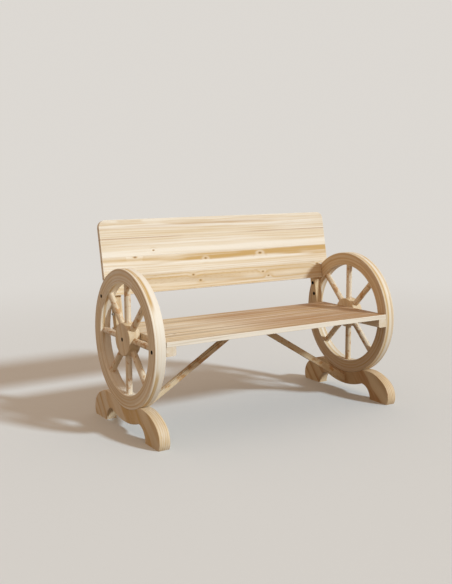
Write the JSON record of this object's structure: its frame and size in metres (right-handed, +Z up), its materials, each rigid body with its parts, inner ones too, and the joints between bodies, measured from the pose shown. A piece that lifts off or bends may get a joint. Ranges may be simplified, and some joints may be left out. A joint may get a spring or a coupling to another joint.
{
  "type": "wagon wheel bench",
  "caption": "Rustic plank bench with a leaning plank back, carried between spoked wagon wheels on arched feet, with slanting braces under the seat.",
  "frame": {"origin": "on the floor, midway between the wheels, under the wheel axis", "axes": "+X along the bench to the right seen from the front, +Y to the rear, +Z up"},
  "size_m": [1.14, 0.58, 0.7997],
  "materials": {
    "fir": "planed, oiled natural fir",
    "beech": "plain dowel",
    "dark_steel": "black",
    "zinc_steel": "zinc plated"
  },
  "bodies": {
    "root": {"back_board_1": "fir", "back_board_2": "fir", "back_board_3": "fir", "back_board_4": "fir", "back_screws": "zinc_steel", "brace_screws": "zinc_steel", "cleat_screws": "zinc_steel", "felloe_dowels": "beech", "foot_bolts": "dark_steel", "left_brace": "fir", "left_cleat": "fir", "left_felloe_1": "fir", "left_felloe_2": "fir", "left_felloe_3": "fir", "left_felloe_4": "fir", "left_felloe_5": "fir", "left_felloe_6": "fir", "left_felloe_7": "fir", "left_felloe_8": "fir", "left_foot": "fir", "left_hub": "fir", "left_post": "fir", "left_spoke_1": "fir", "left_spoke_2": "fir", "left_spoke_3": "fir", "left_spoke_4": "fir", "left_spoke_5": "fir", "left_spoke_6": "fir", "left_spoke_7": "fir", "left_spoke_8": "fir", "post_bolt_nuts": "zinc_steel", "post_bolts": "dark_steel", "right_brace": "fir", "right_cleat": "fir", "right_felloe_1": "fir", "right_felloe_2": "fir", "right_felloe_3": "fir", "right_felloe_4": "fir", "right_felloe_5": "fir", "right_felloe_6": "fir", "right_felloe_7": "fir", "right_felloe_8": "fir", "right_foot": "fir", "right_hub": "fir", "right_post": "fir", "right_spoke_1": "fir", "right_spoke_2": "fir", "right_spoke_3": "fir", "right_spoke_4": "fir", "right_spoke_5": "fir", "right_spoke_6": "fir", "right_spoke_7": "fir", "right_spoke_8": "fir", "seat_board_1": "fir", "seat_board_2": "fir", "seat_board_3": "fir", "seat_board_4": "fir", "threaded_inserts": "zinc_steel", "wheel_bolts": "dark_steel"}
  },
  "joints": []
}
